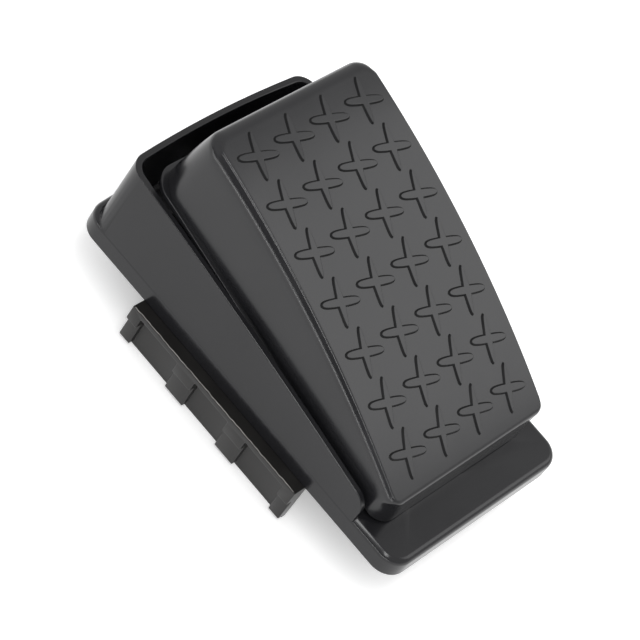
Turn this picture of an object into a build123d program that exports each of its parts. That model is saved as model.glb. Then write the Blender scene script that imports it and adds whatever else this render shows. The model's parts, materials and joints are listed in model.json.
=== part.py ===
from build123d import *
import math
import os

# Accelerator pedal: a moulded housing with a hinged treadle over a lever microswitch.
# Millimetres. +X right, +Y towards the toe, +Z up.
# The origin is the middle of the housing's underside.

# Housing
base_length = 140.0
base_width = 78.8
base_corner = 7.0
deck_height = 7.3
deck_thickness = 2.2
deck_rounding = 2.0
deck_reach = 30.0
wall = 2.0
draft = 1.0  # degrees
toe_ledge = 2.4
toe_bow = 1.6
wall_corner = 6.9
rim_height = 33.9
cheek_heel_inset = 18.8
cheek_heel_height = 14.7
cheek_crown = 1.1
cheek_rounding = 6.0
cut_spare = 1.0  # how far a cut runs on past the face it opens

# Base plate and its side rails
plate_thickness = 2.0
plate_gap = 0.3
rail_ledge_reach = 4.3
rail_ledge_thickness = 1.9
rail_depth = 16.7
rail_length = 72.4
rail_middle_y = 2.0
rail_flange_inset = 11.0
rail_panel_thickness = 1.9
rail_block_height = 4.1
rail_foot_reach = 2.0
rail_foot_depth = 15.7
rail_rib_count = 4
rail_rib_middle = 7.9
rail_rib_end = 4.4

# Treadle
tread_radius = 344.0
tread_toe_height = 61.15
tread_heel_height = 19.05
treadle_side_gap = 2.1
treadle_toe_gap = 10.2
treadle_toe_slant = 4.4
treadle_heel_inset = 12.7
treadle_wall = 2.2
skirt_heel_height = 7.6
skirt_toe_height = 33.0
treadle_corner = 6.5
edge_fall = 3.0
edge_width = 1.9
lip_reach_side = 0.9
lip_reach_toe = 3.2
lip_thickness = 1.8
lip_heel_inset = 19.3
rib_thickness = 1.6
rib_depth = 8.0
rib_bite = 0.6
rib_columns = (-9.0, 9.0)
rib_toe_insets = (13.0, 59.0)

# Raised crosses of the tread
cross_rows = 7
cross_columns = 4
cross_toe_margin = 11.2
cross_heel_margin = 10.1
cross_side_margin = 12.1
cross_gap = 0.86
cross_turn = -15.0
cross_root_width = 2.7
cross_tip_width = 1.3
cross_rise = 0.5

# Hinge
hinge_inset = 10.3
hinge_z = 12.0
pedal_travel = 12.0
pin_radius = 2.0
pin_end_gap = 6.05
pin_overhang = 2.6
pin_chamfer = 0.4
lug_thickness = 5.0
lug_radius = 4.2
lug_side_gap = 0.15
ear_thickness = 3.5
ear_radius = 4.2
bush_radius = 3.0
bush_flange_radius = 3.9
bush_flange_thickness = 0.7
running_gap = 0.05
clip_thickness = 0.8
clip_radius = 3.6
clip_gap = 0.3
clip_mouth = 2.4
groove_radius = 1.5

# Return spring
spring_toe_inset = 27.0
spring_radius = 6.2
spring_wire_radius = 0.8
spring_height = 33.0
spring_turns = 6
spring_wire_sides = 6
spring_boss_radius = 8.0
spring_peg_gap = 0.4
spring_peg_height = 4.0

# Rubber stops
stop_x = 18.0
stop_toe_inset = 1.5
stop_radius = 5.0
stop_height = 8.0
stop_chamfer = 1.0
stop_gap = 0.3
stop_stem_radius = 2.0
stop_post_width = 7.0
stop_post_length = 5.0

# Microswitch
switch_length = 27.8
switch_width = 10.3
switch_height = 15.9
switch_cover_thickness = 2.4
switch_toe_y = 1.0
switch_hole_pitch = 22.2
switch_hole_height = 2.9
switch_hole_radius = 1.55
switch_screw_radius = 1.45
bracket_thickness = 3.0
bracket_height = 10.6
lever_pivot_inset = 2.0
lever_pivot_rise = 1.5
lever_pin_radius = 0.6
lever_knuckle_radius = 1.2
lever_length = 22.0
lever_thickness = 0.5
lever_width = 4.2
lever_rise = 15.0
lever_ear_thickness = 0.5
lever_ear_gap = 0.3
roller_radius = 2.4
roller_width = 3.6
roller_offset = 3.0
roller_chamfer = 0.3
roller_pin_radius = 0.8
roller_ear_radius = 1.6
pivot_ear_thickness = 1.0
pivot_ear_gap = 0.2
plunger_distance = 7.0
plunger_length = 2.6
plunger_width = 3.0
plunger_rounding = 0.6
plunger_stroke = 1.6
plunger_gap = 0.1
terminal_width = 4.8
terminal_thickness = 0.8
terminal_length = 7.6
terminal_hole_radius = 0.8
terminal_chamfer = 0.25
terminal_pitch = 9.6
terminal_slot_gap = 1.0
switch_corner = 1.0
striker_width = 5.0
striker_length = 9.0
striker_gap = 0.4
striker_slope = 6.0

# Screws
screw_radius = 1.5
screw_hole_gap = 0.2
screw_head_radius = 2.8
screw_head_height = 1.9
base_screw_length = 6.0
screw_slot_width = 0.9
screw_slot_depth = 1.0
countersink_angle = 90.0
boss_radius = 3.4
boss_height = 9.0
boss_side_inset = 5.3
boss_toe_inset = 4.3
heel_boss_inset = 10.0
heel_boss_side_inset = 9.4
rail_boss_height = 5.5
rail_screw_inset = 7.4
rail_screw_pitch = 48.0
gusset = 1.6

os.makedirs("parts", exist_ok=True)

# Plan of the housing and of its inside
base_half = base_width / 2
base_toe_y = base_length / 2
base_heel_y = -base_length / 2
wall_toe_y = base_toe_y - toe_ledge
draft_slope = math.tan(math.radians(draft))
deck_edge_y = base_heel_y + deck_reach
cheek_heel_y = base_heel_y + cheek_heel_inset
inner_half = base_half - wall
inner_toe_y = wall_toe_y - wall
inner_corner = wall_corner - wall

# Plan of the treadle inside the housing, and what lies under it
treadle_half_width = inner_half - treadle_side_gap
treadle_toe_foot_y = inner_toe_y - treadle_toe_gap
treadle_toe_y = treadle_toe_foot_y - treadle_toe_slant
treadle_heel_y = base_heel_y + treadle_heel_inset
lip_heel_y = treadle_heel_y + lip_heel_inset
hinge_y = treadle_heel_y + hinge_inset
spring_y = treadle_toe_y - spring_toe_inset
stop_y = treadle_toe_y - stop_toe_inset

# The tread's arc runs through its heel and toe edges; its axis lies below and towards the toe
chord_y = treadle_toe_y - treadle_heel_y
chord_z = tread_toe_height - tread_heel_height
chord = math.hypot(chord_y, chord_z)
axis_drop = math.sqrt(tread_radius**2 - (chord / 2) ** 2)
tread_axis_y = (treadle_toe_y + treadle_heel_y) / 2 + axis_drop * chord_z / chord
tread_axis_z = (tread_toe_height + tread_heel_height) / 2 - axis_drop * chord_y / chord

# Hinge stations along X, from the pin's end inwards
pin_half_length = treadle_half_width - treadle_wall - pin_end_gap
clip_x = pin_half_length - pin_overhang - clip_thickness
ear_outer_x = clip_x - clip_gap
ear_inner_x = ear_outer_x - ear_thickness
lug_outer_x = ear_inner_x - bush_flange_thickness - lug_side_gap
lug_inner_x = lug_outer_x - lug_thickness

# Crosses, evenly spread over the tread
cross_column_pitch = 2 * (treadle_half_width - cross_side_margin) / (cross_columns - 1)
cross_span = cross_column_pitch - cross_gap


def tub_plan(half_width, heel_y, toe_y, toe_corner, heel_corner):
    """Plan outline with a straight heel edge and a gently bowed toe edge."""
    with BuildSketch() as plan:
        with BuildLine():
            toe_left = (-half_width, toe_y - toe_bow)
            toe_right = (half_width, toe_y - toe_bow)
            Polyline(toe_left, (-half_width, heel_y), (half_width, heel_y), toe_right)
            ThreePointArc(toe_right, (0, toe_y), toe_left)
        make_face()
        fillet(plan.vertices().group_by(Axis.Y)[-1], toe_corner)
        if heel_corner > 0:
            fillet(plan.vertices().group_by(Axis.Y)[0], heel_corner)
    return plan.sketch


def tread_z(y, depth=0.0):
    """Height of the tread's arc at y, or of a surface that lies depth below it."""
    return tread_axis_z + math.sqrt((tread_radius - depth) ** 2 - (y - tread_axis_y) ** 2)


def skirt_z(y):
    """Height of the treadle's lower edge at y."""
    share = (y - treadle_heel_y) / (treadle_toe_foot_y - treadle_heel_y)
    return skirt_heel_height + share * (skirt_toe_height - skirt_heel_height)


def released(y, z):
    """Rest position of a treadle point that lies at (y, z) when the pedal is fully pressed."""
    turn = math.radians(pedal_travel)
    along = y - hinge_y
    up = z - hinge_z
    rest_y = hinge_y + along * math.cos(turn) - up * math.sin(turn)
    rest_z = hinge_z + along * math.sin(turn) + up * math.cos(turn)
    return rest_y, rest_z


# Housing: the base block with its heel deck
with BuildPart() as base_block:
    with BuildSketch(Plane.XY):
        add(tub_plan(base_half, base_heel_y, base_toe_y, base_corner, base_corner))
    extrude(amount=deck_height)
    fillet(base_block.faces().sort_by(Axis.Z)[-1].edges(), deck_rounding)

# Housing: toe wall and cheeks, cut to the sloping rim
with BuildPart() as wall_stock:
    with BuildSketch(Plane.XY):
        add(tub_plan(base_half, cheek_heel_y, wall_toe_y, wall_corner, 0))
    extrude(amount=rim_height + cut_spare, taper=draft)
    with BuildSketch(Plane.YZ) as rim_side:
        with BuildLine():
            rim_mid = ((cheek_heel_y + wall_toe_y) / 2, (cheek_heel_height + rim_height) / 2 + cheek_crown)
            Polyline(
                (cheek_heel_y, cheek_heel_height),
                (cheek_heel_y, 0),
                (wall_toe_y, 0),
                (wall_toe_y, rim_height),
            )
            ThreePointArc((wall_toe_y, rim_height), rim_mid, (cheek_heel_y, cheek_heel_height))
        make_face()
        fillet(rim_side.vertices().group_by(Axis.X)[0].sort_by(Axis.Y)[-1], cheek_rounding)
    extrude(amount=base_half, both=True, mode=Mode.INTERSECT)

toe_boss_x = inner_half - boss_side_inset
toe_boss_y = inner_toe_y - toe_bow - boss_toe_inset
heel_boss_x = base_half - heel_boss_side_inset
heel_boss_y = base_heel_y + heel_boss_inset
base_screw_places = [
    (-heel_boss_x, heel_boss_y),
    (heel_boss_x, heel_boss_y),
    (-toe_boss_x, toe_boss_y),
    (toe_boss_x, toe_boss_y),
]
deck_underside = deck_height - deck_thickness

with BuildPart() as housing:
    add(base_block.part)
    add(wall_stock.part)
    chamber_half = inner_half - deck_height * draft_slope
    chamber_toe = inner_toe_y - deck_height * draft_slope
    with BuildSketch(Plane.XY.offset(deck_height)):
        add(tub_plan(chamber_half, base_heel_y - base_corner, chamber_toe, inner_corner, 0))
    extrude(amount=rim_height, taper=draft, mode=Mode.SUBTRACT)
    with BuildSketch(Plane.XY):
        add(tub_plan(inner_half, deck_edge_y, inner_toe_y, inner_corner, 0))
    extrude(amount=deck_height, taper=draft, mode=Mode.SUBTRACT)
    with BuildSketch(Plane.XY):
        add(tub_plan(inner_half, base_heel_y + wall, inner_toe_y, inner_corner, base_corner - wall))
    extrude(amount=deck_underside, taper=draft, mode=Mode.SUBTRACT)
    # Hinge lugs stand on the deck
    for side in (-1, 1):
        with BuildSketch(Plane.YZ.offset(side * (lug_inner_x + lug_thickness / 2))):
            with Locations((hinge_y, hinge_z)):
                Circle(lug_radius)
            with Locations((hinge_y, (hinge_z + deck_underside) / 2)):
                Rectangle(2 * lug_radius, hinge_z - deck_underside)
        extrude(amount=lug_thickness / 2, both=True)
    with BuildSketch(Plane.YZ):
        with Locations((hinge_y, hinge_z)):
            Circle(pin_radius)
    extrude(amount=lug_outer_x + cut_spare, both=True, mode=Mode.SUBTRACT)
    # Screw bosses: short ones under the deck, gusseted ones in the toe corners
    with BuildSketch(Plane.XY.offset(plate_thickness)):
        with Locations(*base_screw_places[:2]):
            Circle(boss_radius)
    extrude(amount=deck_underside - plate_thickness)
    for side in (-1, 1):
        with BuildSketch(Plane.XY.offset(plate_thickness)):
            with Locations((side * toe_boss_x, toe_boss_y)):
                Circle(boss_radius)
            with Locations((side * (toe_boss_x + inner_half + wall / 2) / 2, toe_boss_y)):
                Rectangle(inner_half + wall / 2 - toe_boss_x, gusset)
            with Locations((side * toe_boss_x, (toe_boss_y + inner_toe_y) / 2)):
                Rectangle(gusset, inner_toe_y - toe_boss_y)
        extrude(amount=boss_height - plate_thickness)
    with BuildSketch(Plane.XY.offset(plate_thickness)):
        with Locations(*base_screw_places):
            Circle(screw_radius)
    extrude(amount=base_screw_length - plate_thickness + screw_hole_gap, mode=Mode.SUBTRACT)
housing.part.label = "housing"
export_step(housing.part, "parts/housing.step")

# Base plate: closes the underside and carries the switch, spring and stops
plate_half = inner_half - plate_gap
plate_heel_y = base_heel_y + wall + plate_gap
plate_toe_y = inner_toe_y - plate_gap
plate_toe_corner = inner_corner - plate_gap
plate_heel_corner = base_corner - wall - plate_gap
rail_screw_x = base_half - rail_screw_inset
rail_screw_ys = [rail_middle_y + end * rail_screw_pitch / 2 for end in (-1, 1)]
rail_screw_places = [(side * rail_screw_x, y) for side in (-1, 1) for y in rail_screw_ys]
stop_places = [(side * stop_x, stop_y) for side in (-1, 1)]
switch_y = switch_toe_y - switch_length / 2
switch_top = plate_thickness + switch_height
switch_hole_z = plate_thickness + switch_hole_height
switch_hole_places = [(switch_y + side * switch_hole_pitch / 2, switch_hole_z) for side in (-1, 1)]
bracket_x = switch_width / 2
spring_peg_radius = spring_radius - spring_wire_radius - spring_peg_gap
terminal_ys = [switch_y + step * terminal_pitch for step in (-1, 0, 1)]
slot_width = terminal_width + 2 * terminal_slot_gap
slot_length = 2 * terminal_pitch + terminal_thickness + 2 * terminal_slot_gap

with BuildPart() as base_plate:
    with BuildSketch(Plane.XY):
        add(tub_plan(plate_half, plate_heel_y, plate_toe_y, plate_toe_corner, plate_heel_corner))
    extrude(amount=plate_thickness)
    with BuildSketch(Plane.XY):
        with Locations(*rail_screw_places):
            Circle(boss_radius)
    extrude(amount=rail_boss_height)
    with BuildSketch(Plane.XY):
        with Locations((0, spring_y)):
            Circle(spring_peg_radius)
    extrude(amount=plate_thickness + spring_peg_height)
    with BuildSketch(Plane.XY):
        with Locations((bracket_x + bracket_thickness / 2, switch_y)):
            Rectangle(bracket_thickness, switch_length)
    extrude(amount=plate_thickness + bracket_height)
    with BuildSketch(Plane.XY):
        with Locations((0, switch_y)):
            Rectangle(slot_width, slot_length)
        with Locations(*stop_places):
            Circle(stop_stem_radius + running_gap)
        with Locations(*rail_screw_places):
            Circle(screw_radius)
        with Locations(*base_screw_places):
            Circle(screw_radius + screw_hole_gap)
    extrude(amount=rim_height, mode=Mode.SUBTRACT)
    with Locations(*[Location((x, y, 0), (180, 0, 0)) for x, y in base_screw_places]):
        CounterSinkHole(
            screw_radius + screw_hole_gap,
            screw_head_radius + screw_hole_gap,
            depth=plate_thickness,
            counter_sink_angle=countersink_angle,
        )
    with BuildSketch(Plane.YZ):
        with Locations(*switch_hole_places):
            Circle(switch_screw_radius)
    extrude(amount=bracket_x + bracket_thickness + cut_spare, mode=Mode.SUBTRACT)
base_plate.part.label = "base_plate"
export_step(base_plate.part, "parts/base_plate.step")


def rail_ribs():
    """Middle and width of each rib along the rail."""
    first = rail_middle_y - (rail_length - rail_rib_end) / 2
    step = (rail_length - rail_rib_end) / (rail_rib_count - 1)
    spans = []
    for index in range(rail_rib_count):
        width = rail_rib_end if index in (0, rail_rib_count - 1) else rail_rib_middle
        spans.append((first + index * step, width))
    return spans


def side_rail(side):
    """Hanging rail: a ledge under the wall, a panel, and stepped ribs on its outer face."""
    ledge_x = base_half + rail_ledge_reach
    panel_x = base_half
    foot_x = panel_x + rail_foot_reach
    with BuildPart() as rail:
        with BuildSketch(Plane.XY):
            flange_x = base_half - rail_flange_inset
            with Locations((side * (ledge_x + flange_x) / 2, rail_middle_y)):
                Rectangle(ledge_x - flange_x, rail_length)
        extrude(amount=-rail_ledge_thickness)
        with BuildSketch(Plane.XY):
            with Locations((side * (panel_x - rail_panel_thickness / 2), rail_middle_y)):
                Rectangle(rail_panel_thickness, rail_length)
        extrude(amount=-rail_depth)
        for rib_y, rib_width in rail_ribs():
            with BuildSketch(Plane.XY):
                with Locations((side * (ledge_x + panel_x) / 2, rib_y)):
                    Rectangle(ledge_x - panel_x, rib_width)
            extrude(amount=-(rail_ledge_thickness + rail_block_height))
            with BuildSketch(Plane.XY):
                with Locations((side * (foot_x + panel_x) / 2, rib_y)):
                    Rectangle(foot_x - panel_x, rib_width)
            extrude(amount=-rail_foot_depth)
        with BuildSketch(Plane.XY):
            with Locations(*[(side * rail_screw_x, y) for y in rail_screw_ys]):
                Circle(screw_radius + screw_hole_gap)
        extrude(amount=-rail_ledge_thickness, mode=Mode.SUBTRACT)
    return rail.part


for side_name, side in (("left", -1), ("right", 1)):
    rail_part = side_rail(side)
    rail_part.label = f"side_rail_{side_name}"
    export_step(rail_part, f"parts/side_rail_{side_name}.step")


toe_lean = (treadle_toe_foot_y - treadle_toe_y) / (tread_z(treadle_toe_y) - skirt_toe_height)


def treadle_profile(inset, floor_drop):
    """Side profile of the treadle, inset from its outer faces and lowered at its open foot."""
    toe_y = treadle_toe_y - inset
    foot_y = treadle_toe_foot_y - inset + floor_drop * toe_lean
    heel_y = treadle_heel_y + inset
    mid_y = (toe_y + heel_y) / 2
    with BuildSketch() as profile:
        with BuildLine():
            Polyline(
                (heel_y, tread_z(heel_y, inset)),
                (heel_y, skirt_heel_height - floor_drop),
                (foot_y, skirt_toe_height - floor_drop),
                (toe_y, tread_z(toe_y, inset)),
            )
            ThreePointArc(
                (toe_y, tread_z(toe_y, inset)),
                (mid_y, tread_z(mid_y, inset)),
                (heel_y, tread_z(heel_y, inset)),
            )
        make_face()
    return profile.sketch


def edge_share(inset):
    """Share of the tread's edge chamfer that is left on a surface inset inside it."""
    slope = math.hypot(edge_width, edge_fall)
    return 1 - inset * (edge_width + edge_fall - slope) / (edge_width * edge_fall)


def treadle_block(inset, floor_drop):
    """Solid of the treadle's outer form, or of the hollow inside its walls."""
    with BuildPart() as block:
        with BuildSketch(Plane.YZ):
            add(treadle_profile(inset, floor_drop))
        extrude(amount=treadle_half_width - inset, both=True)
        toe_edges = block.faces().sort_by(Axis.Y)[-1].edges().filter_by(Axis.X, reverse=True)
        heel_edges = block.faces().sort_by(Axis.Y)[0].edges().filter_by(Axis.X, reverse=True)
        fillet(toe_edges + heel_edges, treadle_corner - inset)
        tread = block.faces().filter_by(GeomType.CYLINDER).sort_by(SortBy.AREA)[-1]
        share = edge_share(inset)
        if share > 0:
            chamfer(tread.edges(), share * edge_fall, share * edge_width, reference=tread)
    return block.part


def cross_outline():
    """Outline of one raised cross, its four arms tapering to blunt tips."""
    points = []
    for quarter in range(4):
        turn = math.radians(90 * quarter + cross_turn)
        for along, across in (
            (cross_span / 2, -cross_tip_width / 2),
            (cross_span / 2, cross_tip_width / 2),
            (cross_root_width / 2, cross_root_width / 2),
        ):
            x = along * math.cos(turn) - across * math.sin(turn)
            y = along * math.sin(turn) + across * math.cos(turn)
            points.append((x, y))
    return points


def cross_plane(row, column):
    """Plane tangent to the tread at one cross, counted from the toe and the left."""
    first = math.asin((treadle_toe_y - cross_toe_margin - tread_axis_y) / tread_radius)
    last = math.asin((treadle_heel_y + cross_heel_margin - tread_axis_y) / tread_radius)
    lean = first + row * (last - first) / (cross_rows - 1)
    x = (column - (cross_columns - 1) / 2) * cross_column_pitch
    y = tread_axis_y + tread_radius * math.sin(lean)
    z = tread_axis_z + tread_radius * math.cos(lean)
    return Plane(origin=(x, y, z), x_dir=(1, 0, 0), z_dir=(0, math.sin(lean), math.cos(lean)))


# Treadle: raised crosses, each rooted in the tread
with BuildPart() as tread_crosses:
    for row in range(cross_rows):
        for column in range(cross_columns):
            with BuildSketch(cross_plane(row, column).offset(-treadle_wall / 2)):
                with BuildLine():
                    Polyline(*cross_outline(), close=True)
                make_face()
            extrude(amount=treadle_wall / 2 + cross_rise)

# Treadle: lip around the foot of its skirt
lip_half = treadle_half_width + lip_reach_side
lip_toe_y = treadle_toe_foot_y + lip_reach_toe
with BuildPart() as skirt_lip:
    with BuildSketch(Plane.XY) as lip_plan:
        with Locations((0, (lip_heel_y + lip_toe_y) / 2)):
            Rectangle(2 * lip_half, lip_toe_y - lip_heel_y)
        fillet(lip_plan.vertices().group_by(Axis.Y)[-1], treadle_corner + lip_reach_side)
    extrude(amount=skirt_z(lip_toe_y) + lip_thickness)
    with BuildSketch(Plane.YZ):
        with BuildLine():
            Polyline(
                (lip_heel_y, skirt_z(lip_heel_y)),
                (lip_toe_y, skirt_z(lip_toe_y)),
                (lip_toe_y, skirt_z(lip_toe_y) + lip_thickness),
                (lip_heel_y, skirt_z(lip_heel_y) + lip_thickness),
                close=True,
            )
        make_face()
    extrude(amount=lip_half, both=True, mode=Mode.INTERSECT)

spring_top = plate_thickness + spring_height
pivot_y = switch_toe_y - lever_pivot_inset
pivot_z = switch_top + lever_pivot_rise
rise = math.radians(lever_rise)
roller_y = pivot_y - lever_length * math.cos(rise) + roller_offset * math.sin(rise)
roller_z = pivot_z + lever_length * math.sin(rise) + roller_offset * math.cos(rise)

# Treadle: ribs, hinge ears, spring boss, stop posts and striker under the tread
with BuildPart() as tread_ribs:
    for rib_x in rib_columns:
        with BuildSketch(Plane.YZ.offset(rib_x)):
            add(treadle_profile(0, 0))
        extrude(amount=rib_thickness / 2, both=True)
    for rib_toe_inset in rib_toe_insets:
        with BuildSketch(Plane.XY):
            with Locations((0, treadle_toe_y - rib_toe_inset)):
                Rectangle(2 * treadle_half_width, rib_thickness)
        extrude(amount=tread_z(treadle_toe_y))
    with BuildSketch(Plane.YZ):
        with BuildLine():
            band_mid = (treadle_toe_y + treadle_heel_y) / 2
            band_depth = treadle_wall + rib_depth
            Polyline(
                (treadle_heel_y, tread_z(treadle_heel_y, band_depth)),
                (treadle_heel_y, tread_z(treadle_toe_y)),
                (treadle_toe_y, tread_z(treadle_toe_y)),
                (treadle_toe_y, tread_z(treadle_toe_y, band_depth)),
            )
            ThreePointArc(*[(y, tread_z(y, band_depth)) for y in (treadle_toe_y, band_mid, treadle_heel_y)])
        make_face()
    extrude(amount=treadle_half_width, both=True, mode=Mode.INTERSECT)

with BuildPart() as treadle_inside:
    add(tread_ribs.part)
    for side in (-1, 1):
        with BuildSketch(Plane.YZ.offset(side * (ear_inner_x + ear_outer_x) / 2)):
            with Locations((hinge_y, hinge_z)):
                Circle(ear_radius)
            with Locations((hinge_y, (hinge_z + rim_height) / 2)):
                Rectangle(2 * ear_radius, rim_height - hinge_z)
        extrude(amount=ear_thickness / 2, both=True)
    with BuildSketch(Plane.XY.offset(spring_top)):
        with Locations((0, spring_y)):
            Circle(spring_boss_radius)
    extrude(amount=tread_z(treadle_toe_y) - spring_top)
    with BuildSketch(Plane.XY.offset(spring_top)):
        with Locations((0, spring_y)):
            Circle(spring_peg_radius)
    extrude(amount=-spring_peg_height)
    # The posts' feet lie level on the rubber stops when the pedal is fully pressed
    post_z = plate_thickness + stop_height + stop_gap
    foot_heel = released(stop_y - stop_post_length / 2, post_z)
    foot_toe = released(stop_y + stop_post_length / 2, post_z)
    for side in (-1, 1):
        with BuildSketch(Plane.YZ.offset(side * stop_x)):
            with BuildLine():
                Polyline(
                    foot_heel,
                    foot_toe,
                    (foot_toe[0], tread_z(treadle_toe_y)),
                    (foot_heel[0], tread_z(treadle_toe_y)),
                    close=True,
                )
            make_face()
        extrude(amount=stop_post_width / 2, both=True)
    with BuildSketch(Plane.YZ):
        with BuildLine():
            striker_foot = roller_z + (roller_radius + striker_gap) / math.cos(math.radians(striker_slope))
            half_fall = striker_length / 2 * math.tan(math.radians(striker_slope))
            striker_heel = roller_y - striker_length / 2
            striker_toe = roller_y + striker_length / 2
            Polyline(
                (striker_heel, striker_foot - half_fall),
                (striker_toe, striker_foot + half_fall),
                (striker_toe, tread_z(treadle_toe_y)),
                (striker_heel, tread_z(treadle_toe_y)),
                close=True,
            )
        make_face()
    extrude(amount=striker_width / 2, both=True)
    add(treadle_block(treadle_wall - rib_bite, rim_height), mode=Mode.INTERSECT)

with BuildPart() as pedal:
    add(treadle_block(0, 0))
    add(skirt_lip.part)
    add(treadle_block(treadle_wall, rim_height), mode=Mode.SUBTRACT)
    add(treadle_inside.part)
    with BuildSketch(Plane.YZ):
        with Locations((hinge_y, hinge_z)):
            Circle(bush_radius)
    extrude(amount=ear_outer_x + clip_gap, both=True, mode=Mode.SUBTRACT)
    add(tread_crosses.part)
pedal.part.label = "pedal"
export_step(pedal.part, "parts/pedal.step")

# Hinge pin with a groove near each end
with BuildPart() as hinge_pin:
    with BuildSketch(Plane.YZ):
        with Locations((hinge_y, hinge_z)):
            Circle(pin_radius)
    extrude(amount=pin_half_length, both=True)
    chamfer(hinge_pin.edges().group_by(Axis.X)[0] + hinge_pin.edges().group_by(Axis.X)[-1], pin_chamfer)
    for side in (-1, 1):
        with BuildSketch(Plane.YZ.offset(side * (clip_x + clip_thickness / 2))):
            with Locations((hinge_y, hinge_z)):
                Circle(pin_radius)
                Circle(groove_radius, mode=Mode.SUBTRACT)
        extrude(amount=clip_thickness / 2, both=True, mode=Mode.SUBTRACT)
hinge_pin.part.label = "hinge_pin"
export_step(hinge_pin.part, "parts/hinge_pin.step")

# Retaining clips in the pin's grooves
with BuildPart() as hinge_clips:
    for side in (-1, 1):
        with BuildSketch(Plane.YZ.offset(side * (clip_x + clip_thickness / 2))):
            with Locations((hinge_y, hinge_z)):
                Circle(clip_radius)
                Circle(groove_radius, mode=Mode.SUBTRACT)
            with Locations((hinge_y, hinge_z - clip_radius / 2)):
                Rectangle(clip_mouth, clip_radius, mode=Mode.SUBTRACT)
        extrude(amount=clip_thickness / 2, both=True)
hinge_clips.part.label = "hinge_clips"
export_step(hinge_clips.part, "parts/hinge_clips.step")

# Flanged bushes pressed into the treadle's ears
for side_name, side in (("left", -1), ("right", 1)):
    with BuildPart() as bush:
        with BuildSketch(Plane.YZ.offset(side * (ear_inner_x - bush_flange_thickness))):
            with Locations((hinge_y, hinge_z)):
                Circle(bush_flange_radius)
        extrude(amount=side * bush_flange_thickness)
        with BuildSketch(Plane.YZ.offset(side * ear_inner_x)):
            with Locations((hinge_y, hinge_z)):
                Circle(bush_radius)
        extrude(amount=side * ear_thickness)
        with BuildSketch(Plane.YZ):
            with Locations((hinge_y, hinge_z)):
                Circle(pin_radius + running_gap)
        extrude(amount=side * (ear_outer_x + cut_spare), mode=Mode.SUBTRACT)
    bush.part.label = f"hinge_bush_{side_name}"
    export_step(bush.part, f"parts/hinge_bush_{side_name}.step")

# Return spring between the base plate's peg and the treadle's boss
coil_height = spring_height - 2 * spring_wire_radius
with BuildPart() as return_spring:
    with BuildLine() as coil:
        Helix(
            pitch=coil_height / spring_turns,
            height=coil_height,
            radius=spring_radius,
            center=(0, spring_y, plate_thickness + spring_wire_radius),
        )
    with BuildSketch(Plane(origin=coil.line @ 0, z_dir=coil.line % 0)):
        RegularPolygon(spring_wire_radius, spring_wire_sides)
    sweep()
return_spring.part.label = "return_spring"
export_step(return_spring.part, "parts/return_spring.step")

# Rubber stops: mushroom heads with stems through the base plate
for side_name, (x, y) in zip(("left", "right"), stop_places):
    with BuildPart() as bumper:
        with BuildSketch(Plane.XY.offset(plate_thickness)):
            with Locations((x, y)):
                Circle(stop_radius)
        extrude(amount=stop_height)
        chamfer(bumper.edges().group_by(Axis.Z)[-1], stop_chamfer)
        with BuildSketch(Plane.XY):
            with Locations((x, y)):
                Circle(stop_stem_radius)
        extrude(amount=plate_thickness)
    bumper.part.label = f"stop_bumper_{side_name}"
    export_step(bumper.part, f"parts/stop_bumper_{side_name}.step")

# Microswitch: body and cover, the lever's pivot ears on top
cover_x = switch_width / 2 - switch_cover_thickness
switch_mid_z = plate_thickness + switch_height / 2
ear_clear_x = lever_width / 2 + pivot_ear_gap
plunger_y = pivot_y - plunger_distance
lever_underside = pivot_z + plunger_distance * math.tan(rise) - lever_thickness / 2 / math.cos(rise)
plunger_top = lever_underside - plunger_length / 2 * math.tan(rise) - plunger_gap
plunger_depth = plunger_stroke + 2 * plunger_gap + plunger_length
plunger_foot = switch_top - plunger_depth + plunger_stroke + plunger_gap


def switch_slab(start_x, thickness):
    """Slab of the switch's outline with its two mounting holes."""
    with BuildPart() as slab:
        with BuildSketch(Plane.YZ.offset(start_x)):
            with Locations((switch_y, switch_mid_z)):
                RectangleRounded(switch_length, switch_height, switch_corner)
            with Locations(*switch_hole_places):
                Circle(switch_hole_radius, mode=Mode.SUBTRACT)
        extrude(amount=thickness)
    return slab.part


with BuildPart() as switch_case:
    add(switch_slab(-switch_width / 2, cover_x + switch_width / 2))
    for side in (-1, 1):
        with BuildSketch(Plane.YZ.offset(side * ear_clear_x)):
            with Locations((pivot_y, pivot_z)):
                Circle(lever_knuckle_radius)
            with Locations((pivot_y, (pivot_z + switch_top) / 2 - switch_corner / 2)):
                Rectangle(2 * lever_knuckle_radius, pivot_z - switch_top + switch_corner)
        extrude(amount=side * pivot_ear_thickness)
    with BuildSketch(Plane.YZ):
        with Locations((pivot_y, pivot_z)):
            Circle(lever_pin_radius)
    extrude(amount=switch_width, both=True, mode=Mode.SUBTRACT)
    with BuildSketch(Plane.XY.offset(switch_top)):
        with Locations((0, plunger_y)):
            Rectangle(plunger_width + 2 * plunger_gap, plunger_length + 2 * plunger_gap)
    extrude(amount=-plunger_depth, mode=Mode.SUBTRACT)
switch_case.part.label = "switch_case"
export_step(switch_case.part, "parts/switch_case.step")

with BuildPart() as switch_cover:
    add(switch_slab(cover_x, switch_cover_thickness))
    with BuildSketch(Plane.YZ.offset(cover_x)):
        with Locations((pivot_y, (pivot_z + switch_top) / 2 - switch_corner / 2)):
            Rectangle(2 * lever_knuckle_radius + 2 * plunger_gap, pivot_z - switch_top + switch_corner)
    extrude(amount=ear_clear_x + pivot_ear_thickness + plunger_gap - cover_x, mode=Mode.SUBTRACT)
switch_cover.part.label = "switch_cover"
export_step(switch_cover.part, "parts/switch_cover.step")

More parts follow.
